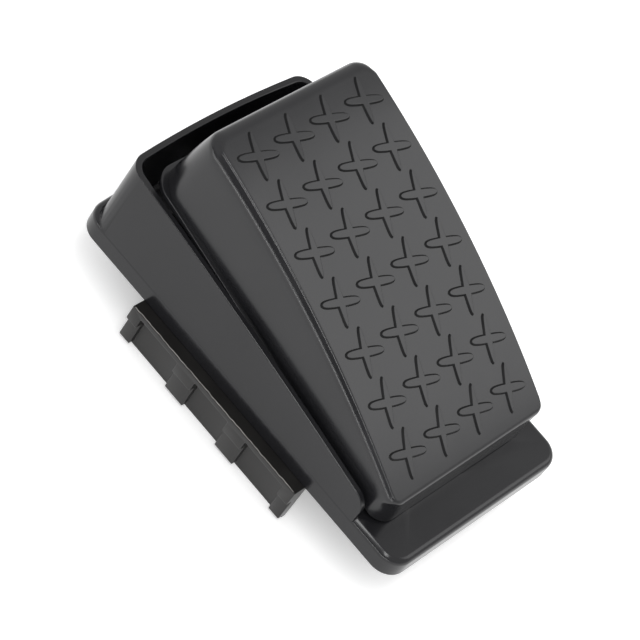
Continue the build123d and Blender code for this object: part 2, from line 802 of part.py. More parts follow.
with BuildPart() as switch_plunger:
    with BuildSketch(Plane.XY.offset(plunger_foot)):
        with Locations((0, plunger_y)):
            Rectangle(plunger_width, plunger_length)
    extrude(amount=plunger_top - plunger_foot)
    fillet(switch_plunger.edges().group_by(Axis.Z)[-1].filter_by(Axis.X), plunger_rounding)
switch_plunger.part.label = "switch_plunger"
export_step(switch_plunger.part, "parts/switch_plunger.step")

# Lever frame: its own X runs from the pivot to the roller end, its own Y points up
lever_along = (0, -math.cos(rise), math.sin(rise))
lever_plane = Plane(origin=(0, pivot_y, pivot_z), x_dir=lever_along, z_dir=(-1, 0, 0))
lever_ear_x = roller_width / 2 + lever_ear_gap
with BuildPart() as switch_lever:
    with BuildSketch(lever_plane):
        with Locations((lever_length / 2, 0)):
            Rectangle(lever_length, lever_thickness)
        Circle(lever_knuckle_radius)
        with Locations((lever_length, 0)):
            Rectangle(2 * roller_ear_radius, lever_thickness)
    extrude(amount=lever_width / 2, both=True)
    for side in (-1, 1):
        with BuildSketch(lever_plane.offset(side * lever_ear_x)):
            with Locations((lever_length, roller_offset)):
                Circle(roller_ear_radius)
            with Locations((lever_length, roller_offset / 2)):
                Rectangle(2 * roller_ear_radius, roller_offset + lever_thickness)
        extrude(amount=side * lever_ear_thickness)
    with BuildSketch(lever_plane):
        with Locations((lever_length, lever_thickness / 4)):
            Rectangle(2 * roller_ear_radius, lever_thickness / 2)
    extrude(amount=lever_ear_x + lever_ear_thickness, both=True)
    with BuildSketch(lever_plane):
        Circle(lever_pin_radius + running_gap)
        with Locations((lever_length, roller_offset)):
            Circle(roller_pin_radius)
    extrude(amount=lever_width, both=True, mode=Mode.SUBTRACT)
switch_lever.part.label = "switch_lever"
export_step(switch_lever.part, "parts/switch_lever.step")

with BuildPart() as lever_pin:
    with BuildSketch(lever_plane):
        Circle(lever_pin_radius)
    extrude(amount=ear_clear_x + pivot_ear_thickness, both=True)
lever_pin.part.label = "lever_pin"
export_step(lever_pin.part, "parts/lever_pin.step")

with BuildPart() as lever_roller:
    with BuildSketch(lever_plane):
        with Locations((lever_length, roller_offset)):
            Circle(roller_radius)
            Circle(roller_pin_radius + running_gap, mode=Mode.SUBTRACT)
    extrude(amount=roller_width / 2, both=True)
    chamfer(lever_roller.edges().filter_by(GeomType.CIRCLE).group_by(SortBy.RADIUS)[-1], roller_chamfer)
lever_roller.part.label = "lever_roller"
export_step(lever_roller.part, "parts/lever_roller.step")

with BuildPart() as roller_pin:
    with BuildSketch(lever_plane):
        with Locations((lever_length, roller_offset)):
            Circle(roller_pin_radius)
    extrude(amount=lever_ear_x + lever_ear_thickness, both=True)
roller_pin.part.label = "roller_pin"
export_step(roller_pin.part, "parts/roller_pin.step")

# Spade terminals hang from the case through the base plate's slot
for terminal_name, terminal_y in zip(("common", "closed", "open"), terminal_ys):
    with BuildPart() as terminal:
        with BuildSketch(Plane.XZ.offset(-terminal_y - terminal_thickness / 2)):
            with Locations((0, plate_thickness - terminal_length / 2)):
                Rectangle(terminal_width, terminal_length)
            with Locations((0, plate_thickness - terminal_length + terminal_width / 2)):
                Circle(terminal_hole_radius, mode=Mode.SUBTRACT)
        extrude(amount=terminal_thickness)
        chamfer(terminal.edges().group_by(Axis.Z)[0].filter_by(Axis.X), terminal_chamfer)
    terminal.part.label = f"terminal_{terminal_name}"
    export_step(terminal.part, f"parts/terminal_{terminal_name}.step")


def pan_screw(plane, shank_radius, length):
    """Pan-head screw: the plane lies under its head and its normal runs along the shank."""
    with BuildPart() as screw:
        with BuildSketch(plane):
            Circle(shank_radius)
        extrude(amount=length)
        with BuildSketch(plane):
            Circle(screw_head_radius)
        extrude(amount=-screw_head_height)
        with BuildSketch(plane.offset(-screw_head_height)):
            Rectangle(screw_head_radius, screw_slot_width)
            Rectangle(screw_slot_width, screw_head_radius)
        extrude(amount=screw_slot_depth, mode=Mode.SUBTRACT)
    return screw.part


def countersunk_screw(plane, length):
    """Countersunk screw: the plane lies on its flat head and its normal runs along the shank."""
    cone = (screw_head_radius - screw_radius) / math.tan(math.radians(countersink_angle / 2))
    with BuildPart() as screw:
        with BuildSketch(plane):
            Circle(screw_radius)
        extrude(amount=length)
        with BuildSketch(plane):
            Circle(screw_head_radius)
        extrude(amount=cone, taper=countersink_angle / 2)
        with BuildSketch(plane):
            Rectangle(screw_head_radius, screw_slot_width)
            Rectangle(screw_slot_width, screw_head_radius)
        extrude(amount=screw_slot_depth, mode=Mode.SUBTRACT)
    return screw.part


with BuildPart() as base_screws:
    for x, y in base_screw_places:
        add(countersunk_screw(Plane(origin=(x, y, 0), z_dir=(0, 0, 1)), base_screw_length))
base_screws.part.label = "base_screws"
export_step(base_screws.part, "parts/base_screws.step")

with BuildPart() as rail_screws:
    for x, y in rail_screw_places:
        under_head = Plane(origin=(x, y, -rail_ledge_thickness), z_dir=(0, 0, 1))
        add(pan_screw(under_head, screw_radius, rail_ledge_thickness + rail_boss_height))
rail_screws.part.label = "rail_screws"
export_step(rail_screws.part, "parts/rail_screws.step")

with BuildPart() as switch_screws:
    for y, z in switch_hole_places:
        under_head = Plane(origin=(-switch_width / 2, y, z), z_dir=(1, 0, 0))
        add(pan_screw(under_head, switch_screw_radius, switch_width + bracket_thickness))
switch_screws.part.label = "switch_screws"
export_step(switch_screws.part, "parts/switch_screws.step")
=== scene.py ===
# %% [markdown]
# Accelerator pedal. The real object is a small moulded foot pedal: a sprung treadle hinged in an
# open-topped housing, with a hanging rail on each side. The CAD model gives every piece its size
# and place, so this lesson adds what the eye needs: camera, light, finishes, and the soft forms
# that a mould leaves, such as rounded edges and the raised crosses of the tread.

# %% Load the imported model
import bpy
import json
import math
import bmesh
from mathutils import Matrix, Vector


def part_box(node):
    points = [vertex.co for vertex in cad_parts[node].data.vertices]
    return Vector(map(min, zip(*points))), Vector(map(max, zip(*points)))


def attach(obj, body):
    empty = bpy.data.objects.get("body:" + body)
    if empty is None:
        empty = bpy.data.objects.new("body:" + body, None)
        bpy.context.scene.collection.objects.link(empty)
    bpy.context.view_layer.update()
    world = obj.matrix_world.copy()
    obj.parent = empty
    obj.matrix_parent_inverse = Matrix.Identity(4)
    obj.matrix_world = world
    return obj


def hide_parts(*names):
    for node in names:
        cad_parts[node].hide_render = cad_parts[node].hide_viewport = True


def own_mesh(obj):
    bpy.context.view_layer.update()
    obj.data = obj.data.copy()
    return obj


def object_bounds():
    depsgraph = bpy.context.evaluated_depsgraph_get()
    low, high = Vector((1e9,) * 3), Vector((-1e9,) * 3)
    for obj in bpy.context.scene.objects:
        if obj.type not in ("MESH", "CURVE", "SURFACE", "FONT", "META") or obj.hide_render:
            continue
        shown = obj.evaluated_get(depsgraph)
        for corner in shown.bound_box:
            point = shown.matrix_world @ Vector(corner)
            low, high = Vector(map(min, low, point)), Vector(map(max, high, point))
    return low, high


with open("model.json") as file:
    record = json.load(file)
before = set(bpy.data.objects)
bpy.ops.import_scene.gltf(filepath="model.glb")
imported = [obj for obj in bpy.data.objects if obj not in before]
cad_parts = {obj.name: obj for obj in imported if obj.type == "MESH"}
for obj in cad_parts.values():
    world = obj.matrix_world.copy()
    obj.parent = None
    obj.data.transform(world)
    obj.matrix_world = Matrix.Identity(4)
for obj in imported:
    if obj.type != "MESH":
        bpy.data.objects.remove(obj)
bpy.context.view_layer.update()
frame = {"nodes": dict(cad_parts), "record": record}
mm = 0.001

# %% [markdown]
# The photograph was taken from high on the left, with the camera rolled clockwise, through a long
# lens that keeps the edges almost parallel. A look-at camera with a roll is easier to read than a
# matrix, so the matrix is worked out from a target, a distance and three angles.

# %% Camera
camera_target = Vector((-10.7, 0.6, 20.0)) * mm
camera_distance = 910.3 * mm
camera_azimuth = math.radians(-73.37)
camera_elevation = math.radians(46.26)
camera_roll = math.radians(36.85)
camera_lens = 177.9
sensor_width = 36.0
nearest_seen = 0.05


def add_object(name, data):
    """A new object in the scene that shows a camera, a lamp or a mesh."""
    made = bpy.data.objects.new(name, data)
    bpy.context.scene.collection.objects.link(made)
    return made


back = Vector((
    math.sin(camera_azimuth) * math.cos(camera_elevation),
    -math.cos(camera_azimuth) * math.cos(camera_elevation),
    math.sin(camera_elevation),
))
level_right = Vector((math.cos(camera_azimuth), math.sin(camera_azimuth), 0.0))
level_up = back.cross(level_right)
right = level_right * math.cos(camera_roll) + level_up * math.sin(camera_roll)
up = back.cross(right)
camera_data = bpy.data.cameras.new("camera")
camera_data.lens = camera_lens
camera_data.sensor_width = sensor_width
camera_data.clip_start = nearest_seen
camera = add_object("camera", camera_data)
turn = Matrix((right, up, back)).transposed()
camera.matrix_world = Matrix.Translation(camera_target + back * camera_distance) @ turn.to_4x4()
bpy.context.scene.camera = camera
bpy.context.scene.view_settings.view_transform = "Standard"
print("camera at", [round(value, 3) for value in camera.location])

# %% [markdown]
# Every colour below is written as an sRGB hex value, as a paint chart gives it. Blender's shaders
# want linear light, so one function turns the one into the other. A second function empties the
# node tree that Blender fills in by itself, and a third adds a shader node with its settings and
# links, which keeps each material to a few readable lines.

# %% Colour and node helpers
def linear(hex_colour):
    """sRGB hex such as "#2b2b2d" as linear red, green, blue and alpha."""
    channels = []
    for start in (1, 3, 5):
        value = int(hex_colour[start:start + 2], 16) / 255
        channels.append(value / 12.92 if value <= 0.04045 else ((value + 0.055) / 1.055) ** 2.4)
    return (*channels, 1.0)


def emptied_tree(owner):
    """The node tree of a material or world, without the nodes that Blender puts there."""
    owner.use_nodes = True
    owner.node_tree.nodes.clear()
    return owner.node_tree


def add_node(tree, kind, settings=(), links=()):
    """Adds a node, sets its attributes or input sockets, and links other nodes' outputs to it."""
    made = tree.nodes.new(kind)
    for name, value in dict(settings).items():
        if isinstance(name, str) and hasattr(made, name):
            setattr(made, name, value)
        else:
            made.inputs[name].default_value = value
    for name, source in dict(links).items():
        tree.links.new(source, made.inputs[name])
    return made


print("#808080 in linear light is", round(linear("#808080")[0], 3))

# %% [markdown]
# All the finishes here are one recipe with different numbers. Real surfaces vary at three scales:
# slow clouds of gloss and tint, centimetres wide, from how the melt cooled or the plating settled;
# slow waves of the surface itself, which bend reflections; and a fine grain from the mould or the
# drawing die. Noise textures on Object coordinates give each scale its real size in millimetres.

# %% The finish recipe
# A noise's values lie mostly between these two, so tint and gloss are spread over that span
noise_low, noise_high = 0.3, 0.7
# Shares of the stated roughness in the glossiest and in the dullest cloud
glossiest, dullest = 0.85, 1.18


def finish(name, low_hex, high_hex, roughness, metallic=0.0, ior=1.5, cloud_mm=26.0,
           wave_mm=14.0, wave_depth_mm=0.0, grain_mm=0.6, grain_depth_mm=0.001,
           stretch=(1, 1, 1)):
    """A procedural material: cloudy tint and gloss, slow waves and fine grain."""
    material = bpy.data.materials.new(name)
    tree = emptied_tree(material)
    place = add_node(tree, "ShaderNodeTexCoord").outputs["Object"]
    along = add_node(tree, "ShaderNodeMapping", {"Scale": stretch}, {"Vector": place})
    clouds = add_node(tree, "ShaderNodeTexNoise",
                      {"Scale": 1 / (cloud_mm * mm), "Detail": 3.0}, {"Vector": place})
    gloss = add_node(tree, "ShaderNodeMapRange", {
        "From Min": noise_low, "From Max": noise_high,
        "To Min": roughness * glossiest, "To Max": roughness * dullest,
    }, {"Value": clouds.outputs["Fac"]})
    waves = add_node(tree, "ShaderNodeTexNoise",
                     {"Scale": 1 / (wave_mm * mm), "Detail": 0.0}, {"Vector": place})
    slow = add_node(tree, "ShaderNodeBump", {"Strength": 1.0, "Distance": wave_depth_mm * mm},
                    {"Height": waves.outputs["Fac"]})
    grain = add_node(tree, "ShaderNodeTexNoise", {"Scale": 1 / (grain_mm * mm), "Detail": 2.0},
                     {"Vector": along.outputs["Vector"]})
    fine = add_node(tree, "ShaderNodeBump", {"Strength": 1.0, "Distance": grain_depth_mm * mm},
                    {"Height": grain.outputs["Fac"], "Normal": slow.outputs["Normal"]})
    tint = add_node(tree, "ShaderNodeValToRGB", links={"Fac": clouds.outputs["Fac"]})
    stops = tint.color_ramp.elements
    stops[0].position, stops[0].color = noise_low, linear(low_hex)
    stops[1].position, stops[1].color = noise_high, linear(high_hex)
    shader = add_node(tree, "ShaderNodeBsdfPrincipled", {"Metallic": metallic, "IOR": ior},
                      {"Base Color": tint.outputs["Color"], "Roughness": gloss.outputs["Result"],
                       "Normal": fine.outputs["Normal"]})
    add_node(tree, "ShaderNodeOutputMaterial", links={"Surface": shader.outputs[0]})
    print("finish", name, "roughness", roughness)
    return material


# %% [markdown]
# Injection-moulded ABS, dyed black: the tool's faces are near polished, so a very dark body
# carries a soft mirror of the studio. The treadle is the glossiest and shows faint sink marks over
# its ribs. The rails come from another tool with a finer blast, so they are duller, warmer and a
# shade lighter. Rubber, acetal and phenolic follow for the small pieces inside.

# %% Plastics
treadle_abs = finish("moulded_abs_treadle", "#19191b", "#1f1f21", 0.22, ior=1.46,
                     wave_depth_mm=0.08, grain_mm=0.7, grain_depth_mm=0.0012)
housing_abs = finish("moulded_abs_housing", "#18181a", "#1d1d1f", 0.2, ior=1.43,
                     wave_depth_mm=0.03, grain_mm=0.6, grain_depth_mm=0.0015)
rail_abs = finish("moulded_abs_rail", "#171616", "#1e1d1c", 0.34, ior=1.45, cloud_mm=12.0,
                  wave_depth_mm=0.02, grain_mm=0.45, grain_depth_mm=0.006)
# The flash is coloured far paler than the rail: a painted highlight for the bright line along the
# ledge's edge
flash_painted_highlight = finish("painted_highlight_flash", "#6a6866", "#8c8a87", 0.3, ior=1.5, cloud_mm=2.5,
                   grain_mm=0.4, grain_depth_mm=0.004)
# The flanks of the crosses get a darker, rougher copy of the tread's plastic: painted shade that
# draws their dark outline
painted_shade_flank_abs = finish("painted_shade_cross_flank", "#0e0e0f", "#121213", 0.6, ior=1.3,
                   cloud_mm=8.0, grain_mm=0.4, grain_depth_mm=0.003)
stop_rubber = finish("moulded_nitrile_rubber", "#141414", "#1c1b1b", 0.75, ior=1.52,
                     cloud_mm=5.0, grain_mm=0.3, grain_depth_mm=0.01)
acetal = finish("turned_acetal", "#dddbd2", "#e8e6de", 0.36, ior=1.48, cloud_mm=6.0,
                grain_mm=0.25, grain_depth_mm=0.003, stretch=(4, 1, 1))
phenolic = finish("moulded_phenolic", "#232225", "#2e2d30", 0.5, ior=1.55, cloud_mm=4.0,
                  grain_mm=0.35, grain_depth_mm=0.004)
plunger_nylon = finish("moulded_red_nylon", "#8f1d17", "#a42820", 0.4, ior=1.53, cloud_mm=3.0)

# %% [markdown]
# The metals are small and hidden, but a bench view shows them. Zinc plate is bright and a little
# cloudy, and a darker copy of the plate is painted shade for screw heads that sit in a shaded gap.
# Spring steel has drawing lines along the wire, and tinned brass is warm and satin.

# %% Metals
zinc_steel = finish("zinc_plated_steel", "#b4b8bd", "#cfd2d6", 0.3, metallic=1.0, cloud_mm=4.0,
                    grain_mm=0.3, grain_depth_mm=0.002)
spring_steel = finish("drawn_spring_steel", "#77787c", "#94959a", 0.36, metallic=1.0,
                      cloud_mm=5.0, grain_mm=0.3, grain_depth_mm=0.003, stretch=(1, 1, 5))
tinned_brass = finish("tinned_brass_stamping", "#bdb294", "#d3caae", 0.34, metallic=1.0,
                      cloud_mm=4.0, grain_mm=0.25, grain_depth_mm=0.002, stretch=(1, 1, 4))
# A darker copy of the zinc plate: painted shade for the screw heads in the shaded gap
zinc_painted_shade = finish("zinc_plate_painted_shade", "#26272a", "#303134", 0.4, metallic=1.0,
                   cloud_mm=3.0, grain_mm=0.3, grain_depth_mm=0.002)

# %% [markdown]
# The record names a material slot for every CAD node, and each slot gets one of the finishes. The
# rail screws are the exception: their heads lie in the shaded gap beside the treadle, so they get
# the darker copy of the zinc plate, which is painted shade.

# %% Finishes on the CAD nodes
slot_finishes = {
    "black_abs": housing_abs, "textured_abs": rail_abs, "black_rubber": stop_rubber,
    "white_acetal": acetal, "switch_phenolic": phenolic, "red_plunger": plunger_nylon,
    "zinc_steel": zinc_steel, "spring_steel": spring_steel, "tinned_brass": tinned_brass,
}
slot_of = {sub["node"]: sub["material_slot"] for sub in frame["record"]["subparts"]}
for name, node in frame["nodes"].items():
    # The rail screws get the darker zinc: painted shade
    node_finish = zinc_painted_shade if name == "rail_screws" else slot_finishes[slot_of[name]]
    node.data.materials.clear()
    node.data.materials.append(node_finish)
print("finishes", len(slot_finishes), "for", len(frame["nodes"]), "nodes")

# %% [markdown]
# Most pieces that this lesson makes start in one of two ways: as a copy of a CAD node, whose loose
# triangles are merged first, or as a new mesh drawn in millimetres. Either way the result is plain
# mesh data, and one function turns it into a piece that rides a body of the pedal and stands for
# the CAD nodes that it replaces.

# %% Helpers for finished pieces
weld_mm = 0.0005


def in_mm(corners):
    """A box's low and high corner in millimetres."""
    return [[value / mm for value in corner] for corner in corners]


def merged_copy(node_name):
    """A copy of a CAD node's mesh, and a bmesh of it in which the loose triangles are joined."""
    mesh = frame["nodes"][node_name].data.copy()
    work = bmesh.new()
    work.from_mesh(mesh)
    bmesh.ops.remove_doubles(work, verts=work.verts, dist=weld_mm * mm)
    return mesh, work


def settle(work, mesh):
    """Writes a bmesh into a mesh and frees it."""
    work.to_mesh(mesh)
    work.free()
    return mesh


def smooth_by_angle(mesh, degrees):
    """Smooth shading, with edges sharper than the angle kept crisp."""
    mesh.shade_smooth()
    mesh.set_sharp_from_angle(angle=math.radians(degrees))


def evaluated_mesh(source):
    """The mesh that an object's modifiers make, as plain data; the object itself is removed."""
    graph = bpy.context.evaluated_depsgraph_get()
    mesh = bpy.data.meshes.new_from_object(source.evaluated_get(graph))
    bpy.data.objects.remove(source)
    return mesh


def link_piece(name, mesh, body, material, nodes):
    """Puts a mesh in the scene as a piece that rides a body and stands for CAD nodes."""
    if material:
        mesh.materials.clear()
        mesh.materials.append(material)
    piece = add_object(name, mesh)
    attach(piece, body)
    if nodes:
        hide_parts(*nodes)
    print(name, "faces", len(mesh.polygons))
    return piece


# %% [markdown]
# A mould can't cut a knife edge: every outer corner of the housing and the rails has a radius of a
# few tenths of a millimetre, which catches the light as a thin line. The CAD solids have sharp
# edges there. In a merged copy, triangles that share a plane become one face, so that a Bevel
# modifier finds only the real edges, and its hardened normals keep the flat faces flat in the
# light, with the whole bend in the narrow rounding.

# %% Housing and rails
edge_radius_mm = 0.35
edge_segments = 3
same_plane_degrees = 0.5
shell_smooth_degrees = 24
rounded_from_degrees = 32


def rounded_copy(node_name):
    """A copy of a CAD node's mesh with its sharp edges rounded."""
    mesh, work = merged_copy(node_name)
    bmesh.ops.dissolve_limit(work, angle_limit=math.radians(same_plane_degrees),
                             verts=work.verts, edges=work.edges)
    smooth_by_angle(settle(work, mesh), shell_smooth_degrees)
    source = add_object("rounding", mesh)
    bevel = source.modifiers.new("edge_radius", "BEVEL")
    bevel.width = edge_radius_mm * mm
    bevel.segments = edge_segments
    bevel.limit_method = "ANGLE"
    bevel.angle_limit = math.radians(rounded_from_degrees)
    bevel.use_clamp_overlap = False
    bevel.harden_normals = True
    bevel.miter_outer = "MITER_ARC"
    return evaluated_mesh(source)


link_piece("housing_shell", rounded_copy("housing"), "root", housing_abs, ["housing"])
for side_name in ("left", "right"):
    link_piece(f"rail_{side_name}", rounded_copy(f"side_rail_{side_name}"), "root", rail_abs,
               [f"side_rail_{side_name}"])

# %% [markdown]
# The base plate closes the housing from below. In the CAD model it has a fitting clearance of
# 0.3 mm all round, and daylight shines through it into the gap beside the treadle. The real plate
# is pressed home, so the copy's rim is drawn out to the wall, and its bosses stay where they are.

# %% Base plate pressed home
rim_growth = 0.32
side_rim_width = 2.1
end_rim_width = 3.36
# Just above the plate's upper face, so that the bosses' own points are left alone
rim_top_z = 2.05
plate_smooth_degrees = 8

plate_low, plate_high = in_mm(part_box("base_plate"))
plate_mesh, plate_work = merged_copy("base_plate")
moved = 0
for vert in plate_work.verts:
    x, y, z = [value / mm for value in vert.co]
    at_side = abs(x) > plate_high[0] - side_rim_width
    at_end = y > plate_high[1] - end_rim_width or y < plate_low[1] + end_rim_width
    if (at_side or at_end) and z < rim_top_z:
        vert.co.x *= 1 + rim_growth / plate_high[0]
        vert.co.y *= 1 + rim_growth / plate_high[1]
        moved += 1
smooth_by_angle(settle(plate_work, plate_mesh), plate_smooth_degrees)
link_piece("base_plate_pressed", plate_mesh, "root", housing_abs, ["base_plate"])
print("plate rim points moved", moved)

# %% [markdown]
# The return spring is one open coil between the plate and the treadle's boss, centred on the
# boss's peg. Its coils close up as the pedal goes down; the copy here turns with the treadle and
# gets a mesh of its own.

# %% Return spring
wire_smooth_degrees = 70

coil_mesh, coil_work = merged_copy("return_spring")
smooth_by_angle(settle(coil_work, coil_mesh), wire_smooth_degrees)
coil = link_piece("return_coil", coil_mesh, "treadle", spring_steel, ["return_spring"])
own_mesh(coil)

# %% [markdown]
# Where the two halves of the rail's mould meet, a hair of plastic has crept out along the ledge's
# outer edge. This flash is uneven, and its pale colour is a painted highlight that makes it the
# brightest line on the rail. A thin four-sided thread follows the edge, with a wander made of a
# few sine waves, so that it never repeats within the rail's length. Loops of points joined by
# quads make the thread, and later the treadle too.

# %% Flash along the rails, sizes in millimetres
flash_steps = 120
flash_half_width = 0.11
flash_half_height = 0.176
flash_inset = 0.27
flash_rise = 0.04
flash_wander = 0.14
flash_ripple, ripple_rate = 0.05, 1.7
# Share of the ledge's length without flash at each end
flash_end_margin = 0.01
# Turn in radians for each millimetre, start in radians, and share of the wander
wander_waves = ((0.9, 0.0, 0.4), (2.3, 1.0, 0.35), (0.31, 2.0, 0.25))


def bridge(work, loops):
    """Joins each loop of points to the next one by quads."""
    for loop, following in zip(loops, loops[1:]):
        for index in range(len(loop)):
            after = (index + 1) % len(loop)
            work.faces.new((loop[index], loop[after], following[after], following[index]))


def flash_thread(name, side, rail_box):
    """A thin wavy thread of flash along the outer top edge of a rail's ledge."""
    (low_x, low_y, _), (high_x, high_y, top_z) = rail_box
    edge_x = max(abs(low_x), abs(high_x)) - flash_inset
    section = ((-flash_half_width, 0), (0, -flash_half_height), (flash_half_width, 0),
               (0, flash_half_height))
    work = bmesh.new()
    loops = []
    for step in range(flash_steps + 1):
        share = flash_end_margin + (1 - 2 * flash_end_margin) * step / flash_steps
        y = low_y + (high_y - low_y) * share
        wander = sum(part * math.sin(y * rate + start) for rate, start, part in wander_waves)
        x = (edge_x + flash_wander * wander) * side
        z = top_z + flash_rise + flash_ripple * math.sin(y * ripple_rate)
        loops.append([work.verts.new(Vector((x + u, y, z + v)) * mm) for u, v in section])
    bridge(work, loops)
    work.faces.new(loops[0])
    work.faces.new(loops[-1])
    bmesh.ops.recalc_face_normals(work, faces=work.faces)
    mesh = settle(work, bpy.data.meshes.new(name))
    mesh.shade_smooth()
    return mesh


for side, side_name in ((-1, "left"), (1, "right")):
    rail_box = in_mm(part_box(f"side_rail_{side_name}"))
    flash = flash_thread(f"flash_{side_name}", side, rail_box)
    # The flash's pale material is a painted highlight
    link_piece(f"rail_flash_{side_name}", flash, "root", flash_painted_highlight, None)

# %% [markdown]
# The treadle is one thin-walled moulding. Its tread is an arc of 344 mm radius, its sides are
# upright, its toe leans out, and a lip runs round its foot. Such a skin is easiest as a stack of
# rings: each ring is the plan outline, moved in or out and set to a height, and neighbouring rings
# are joined by quads. The sizes come first, with the arc's axis worked out from its two ends.

# %% Treadle sizes, in millimetres
lip_side_reach = 0.9
lip_toe_reach = 1.0
lip_height = 1.8
lip_start = 19.3
toe_setback = 7.6
foot_rise = 25.4
toe_top_z = 61.15
heel_top_z = 19.05
tread_radius = 344.0
wall = 2.2
plan_corner = 6.5
toe_foot_corner = 9.5
heel_top_corner = 3.5

pedal_low, pedal_high = in_mm(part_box("pedal"))
half_width = pedal_high[0] - lip_side_reach
heel_y = pedal_low[1]
lip_toe_y = pedal_high[1]
toe_y = lip_toe_y - toe_setback
toe_foot_y = lip_toe_y - lip_toe_reach
heel_foot_z = pedal_low[2]
toe_foot_z = heel_foot_z + foot_rise
lip_start_y = heel_y + lip_start

chord = math.hypot(toe_y - heel_y, toe_top_z - heel_top_z)
axis_drop = math.sqrt(tread_radius ** 2 - (chord / 2) ** 2)
axis_y = (toe_y + heel_y) / 2 + axis_drop * (toe_top_z - heel_top_z) / chord
axis_z = (toe_top_z + heel_top_z) / 2 - axis_drop * (toe_y - heel_y) / chord


def tread_z(y):
    """Height of the tread's arc at y."""
    return axis_z + math.sqrt(tread_radius ** 2 - (y - axis_y) ** 2)


def foot_z(y):
    """Height of the skirt's lower edge at y."""
    return heel_foot_z + (toe_foot_z - heel_foot_z) * (y - heel_y) / (toe_foot_y - heel_y)


print("tread axis", round(axis_y, 2), round(axis_z, 2), "half width", round(half_width, 2))

# %% [markdown]
# The plan outline is walked point by point, and each point also keeps the direction that faces out
# of the treadle there. Left and right points match, so rungs across the tread can close it like a
# ladder.

# %% Plan outline
side_steps = 44
corner_steps = 12


def corner(centre_x, centre_y, radius, start):
    """Points (x, y, out_x, out_y) of a quarter circle, anticlockwise from an angle."""
    points = []
    for step in range(corner_steps + 1):
        angle = start + step / corner_steps * math.pi / 2
        out_x, out_y = math.cos(angle), math.sin(angle)
        points.append((centre_x + radius * out_x, centre_y + radius * out_y, out_x, out_y))
    return points


def outline(toe, toe_corner=plan_corner, heel_corner=plan_corner):
    """Points from the heel round the right side to the toe; the left side mirrors them."""
    side_start = heel_y + heel_corner
    side_length = toe - toe_corner - side_start
    side = [(half_width, side_start + side_length * step / side_steps, 1.0, 0.0)
            for step in range(1, side_steps)]
    return (corner(half_width - heel_corner, side_start, heel_corner, -math.pi / 2) + side
            + corner(half_width - toe_corner, toe - toe_corner, toe_corner, 0))


def moved_out(points, distance):
    """Where an outline's points lie when they move out of the treadle by a distance."""
    return [(x + distance * out_x, y + distance * out_y) for x, y, out_x, out_y in points]


print("points on one side of the outline", len(outline(toe_y)))

# %% [markdown]
# Along the sides, the tread ends in a tight radius, a crease and a bevel, which shrinks towards
# the heel. At the toe and heel, it just rolls over. Each edge is a list of (distance in from the
# wall, depth below the tread), and a point near a corner blends the lists by the way it faces.

# %% Edge profiles, in millimetres
side_profile = [
    (2.9, 0.0), (2.15, 0.0), (1.95, 0.03), (1.78, 0.12), (1.67, 0.3), (1.6, 0.55),
    (1.54, 0.65), (0.79, 1.8), (0.72, 1.92), (0.44, 2.51), (0.3, 2.87), (0.15, 3.4),
    (0.05, 4.1), (0.0, 5.0),
]
toe_radius = 3.2
heel_radius = 0.9
# The flat strip before a roll, as a share of its radius
lead_share = 0.25
heel_share_of_bevel = 0.6
# How far a point faces the toe or the heel when that end's profile begins to count, and when it
# alone counts
toe_facing = (0.1, 0.8)
heel_facing = (0.2, 0.9)


def ease(value, start, end):
    """0 before start, 1 after end, and an S-curve between."""
    share = min(1.0, max(0.0, (value - start) / (end - start)))
    return share * share * (3 - 2 * share)


def roll(radius):
    """A quarter round from the flat tread down to the wall, in as many steps as the side."""
    profile = [(radius * (1 + lead_share), 0.0)]
    turns = len(side_profile) - 2
    for step in range(turns + 1):
        angle = step / turns * math.pi / 2
        profile.append((radius * (1 - math.sin(angle)), radius * (1 - math.cos(angle))))
    return profile


toe_profile = roll(toe_radius)
heel_profile = roll(heel_radius)


def edge_point(step, point):
    """Inset and depth of one profile step at an outline point."""
    _, y, _, out_y = point
    share = heel_share_of_bevel + (1 - heel_share_of_bevel) * (y - heel_y) / (toe_y - heel_y)
    toe_part = ease(out_y, *toe_facing)
    heel_part = ease(-out_y, *heel_facing)
    side_part = 1 - toe_part - heel_part
    return tuple(
        side_part * share * side + toe_part * toe + heel_part * heel
        for side, toe, heel in zip(side_profile[step], toe_profile[step], heel_profile[step])
    )


print("profile steps", len(side_profile), len(toe_profile), len(heel_profile))

# %% [markdown]
# The outer rings follow the edge profiles and then the wall. On the way down, the toe wall swells
# outwards, a little faster near the top, and the toe's corners widen. The heel's corners have
# reached their full radius halfway down.

# %% Rings over the edge and down the wall
toe_drop = toe_top_z - toe_foot_z - lip_height
swell_power = 0.8
wall_shares = (0.1, 0.2, 0.35, 0.5, 0.65, 0.8, 0.9, 1.0)


def wall_outline(drop):
    """Outline of the outer wall at a drop below the toe's top."""
    share = min(1.0, drop / toe_drop)
    swollen_toe_y = toe_y + (toe_foot_y - toe_y) * share ** swell_power
    toe_corner = plan_corner + (toe_foot_corner - plan_corner) * share
    heel_corner = heel_top_corner + (plan_corner - heel_top_corner) * min(1.0, 2 * share)
    return outline(swollen_toe_y, toe_corner, heel_corner)


def edge_rings():
    """One ring for each step of the edge profiles, from the flat tread to the wall."""
    rings = []
    for step, (_, toe_depth) in enumerate(toe_profile):
        ring = []
        for point in wall_outline(toe_depth):
            inset, depth = edge_point(step, point)
            x, y = point[0] - inset * point[2], point[1] - inset * point[3]
            ring.append((x, y, tread_z(y) - depth))
        rings.append(ring)
    return rings


def wall_rings():
    """Rings from the last step of the edge down to the lip."""
    rings = []
    start_drop = toe_profile[-1][1]
    for share in wall_shares:
        ring = []
        for point in wall_outline(start_drop + share * (toe_drop - start_drop)):
            x, y = point[:2]
            top = tread_z(y) - edge_point(-1, point)[1]
            bottom = foot_z(y) + lip_height
            ring.append((x, y, top + share * (bottom - top)))
        rings.append(ring)
    return rings


outer_rings = edge_rings() + wall_rings()
print("rings down to the lip", len(outer_rings))

